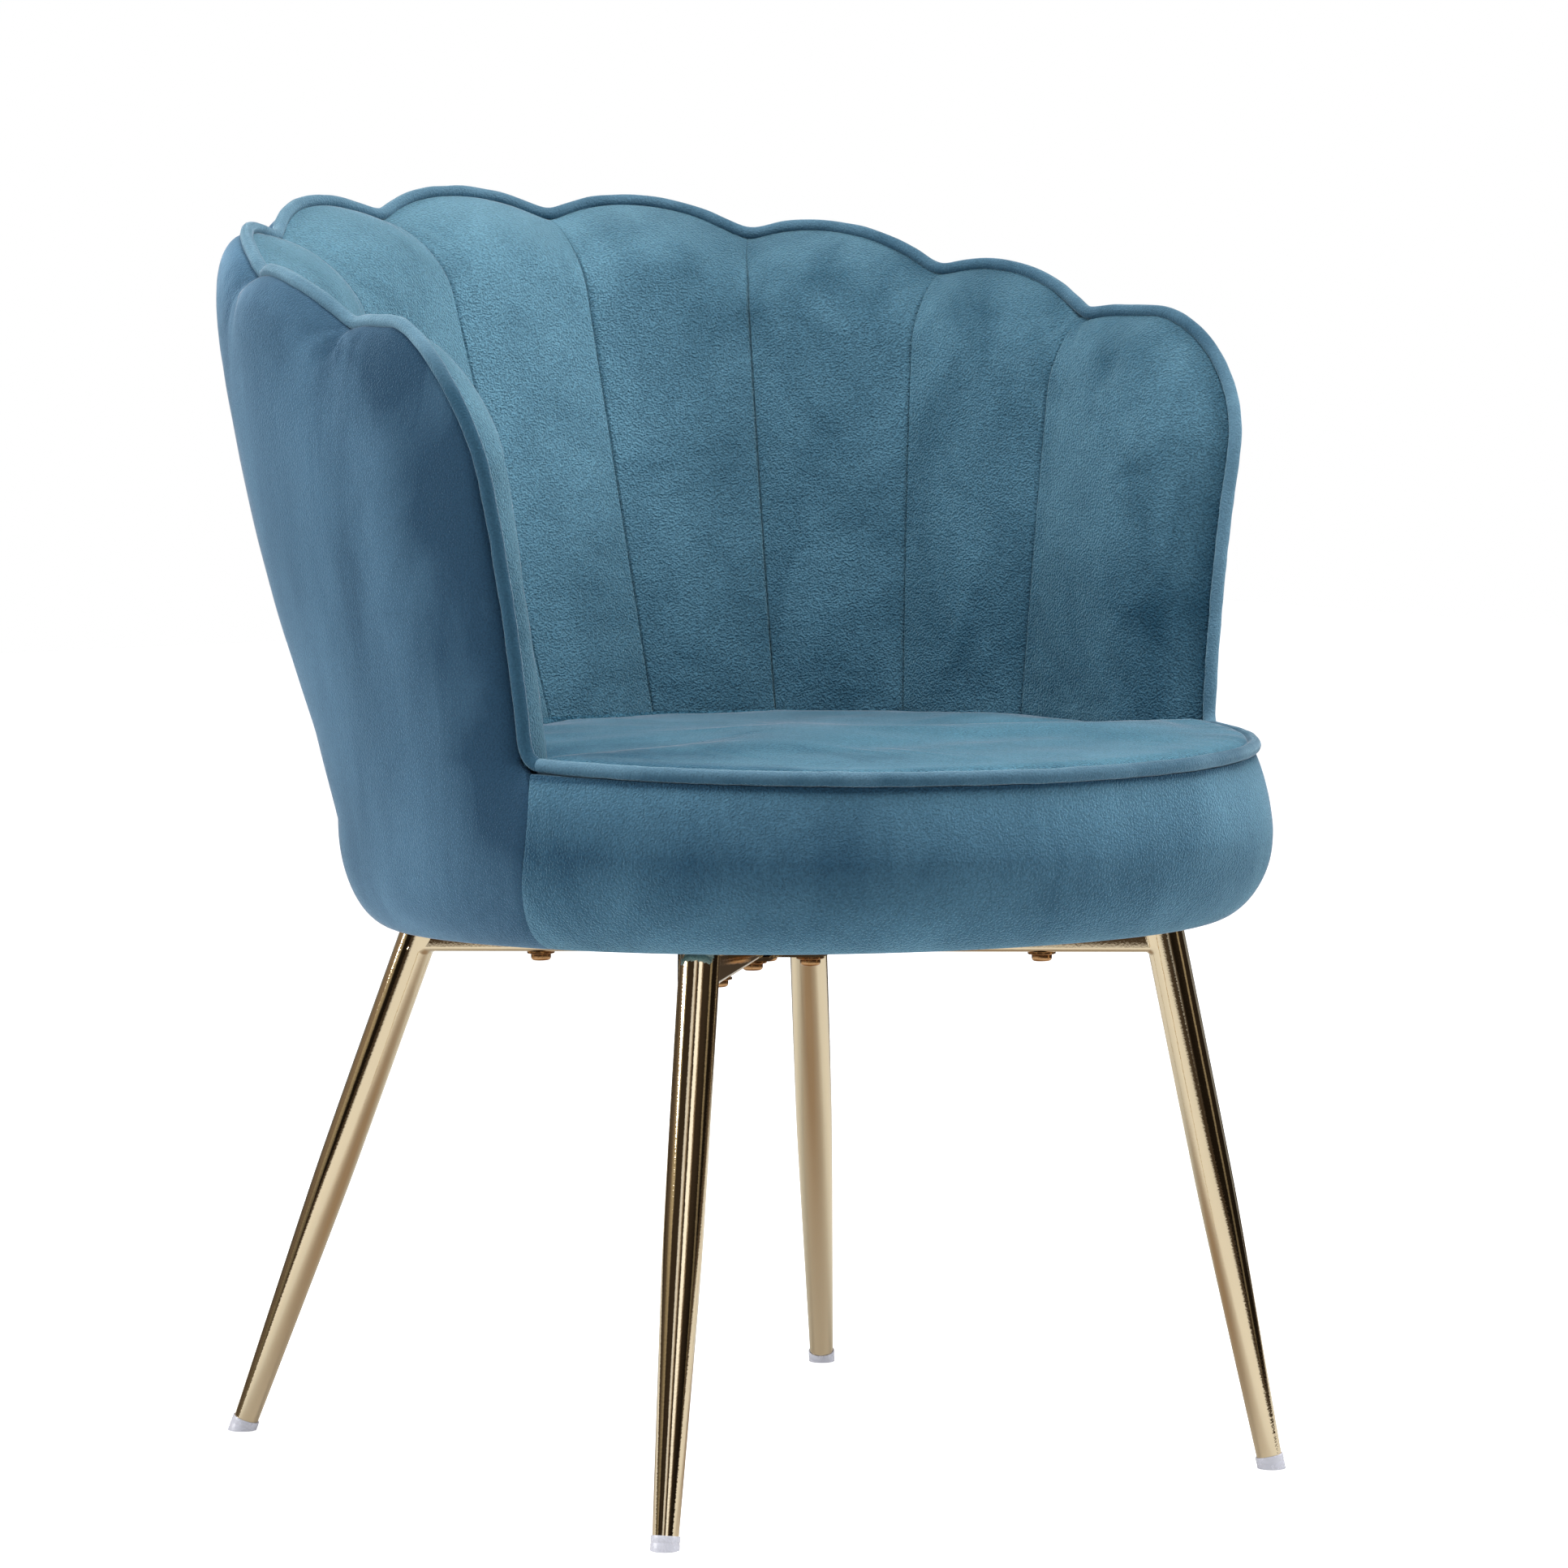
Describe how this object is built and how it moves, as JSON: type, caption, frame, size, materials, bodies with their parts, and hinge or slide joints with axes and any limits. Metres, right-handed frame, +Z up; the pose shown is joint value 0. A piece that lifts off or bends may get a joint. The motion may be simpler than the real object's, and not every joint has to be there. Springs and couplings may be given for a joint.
{
  "type": "scallop back chair",
  "caption": "Round padded tub chair with a scalloped, channelled velvet back that wraps into side wings, a piped seat and splayed tapered gold tube legs",
  "frame": {"origin": "on the floor, under the middle of the whole chair", "axes": "+Z up, the chair faces -Y, +X is the viewer's right when looking at its front"},
  "size_m": [0.6282, 0.7434, 0.816],
  "materials": {
    "velvet_inner": "matt velvet",
    "velvet_outer": "matt velvet",
    "piping": "matt velvet",
    "foam": "matt",
    "plywood": "matt",
    "dust_cover": "matt",
    "gold_metal": "mirror gold plating",
    "clear_plastic": "translucent",
    "bolt_metal": "bright",
    "zinc": "satin"
  },
  "bodies": {
    "root": {"back_channel_1": "velvet_inner", "back_channel_2": "velvet_inner", "back_channel_3": "velvet_inner", "back_channel_4": "velvet_inner", "back_channel_5": "velvet_inner", "back_channel_6": "velvet_inner", "back_channel_7": "velvet_inner", "back_channel_8": "velvet_inner", "back_channel_9": "velvet_inner", "outer_back_cover": "velvet_outer", "plywood_back_shell": "plywood", "back_piping": "piping", "seat_piping": "piping", "front_apron": "velvet_outer", "seat_cushion": "velvet_inner", "seat_board": "plywood", "dust_cover": "dust_cover", "block_left": "plywood", "block_back_left": "plywood", "block_back_right": "plywood", "block_right": "plywood", "cross_bar_long": "gold_metal", "cross_bar_front_half": "gold_metal", "cross_bar_back_half": "gold_metal", "centre_plate": "gold_metal", "bolt_1": "bolt_metal", "washer_1": "bolt_metal", "t_nut_1": "zinc", "bolt_2": "bolt_metal", "washer_2": "bolt_metal", "t_nut_2": "zinc", "bolt_3": "bolt_metal", "washer_3": "bolt_metal", "t_nut_3": "zinc", "bolt_4": "bolt_metal", "washer_4": "bolt_metal", "t_nut_4": "zinc", "bolt_5": "bolt_metal", "washer_5": "bolt_metal", "t_nut_5": "zinc", "bolt_6": "bolt_metal", "washer_6": "bolt_metal", "t_nut_6": "zinc", "bolt_7": "bolt_metal", "washer_7": "bolt_metal", "t_nut_7": "zinc", "bolt_8": "bolt_metal", "washer_8": "bolt_metal", "t_nut_8": "zinc", "seat_foam": "foam", "leg_front_left": "gold_metal", "foot_cap_front_left": "clear_plastic", "leg_front_right": "gold_metal", "foot_cap_front_right": "clear_plastic", "leg_back_left": "gold_metal", "foot_cap_back_left": "clear_plastic", "leg_back_right": "gold_metal", "foot_cap_back_right": "clear_plastic"}
  },
  "joints": []
}
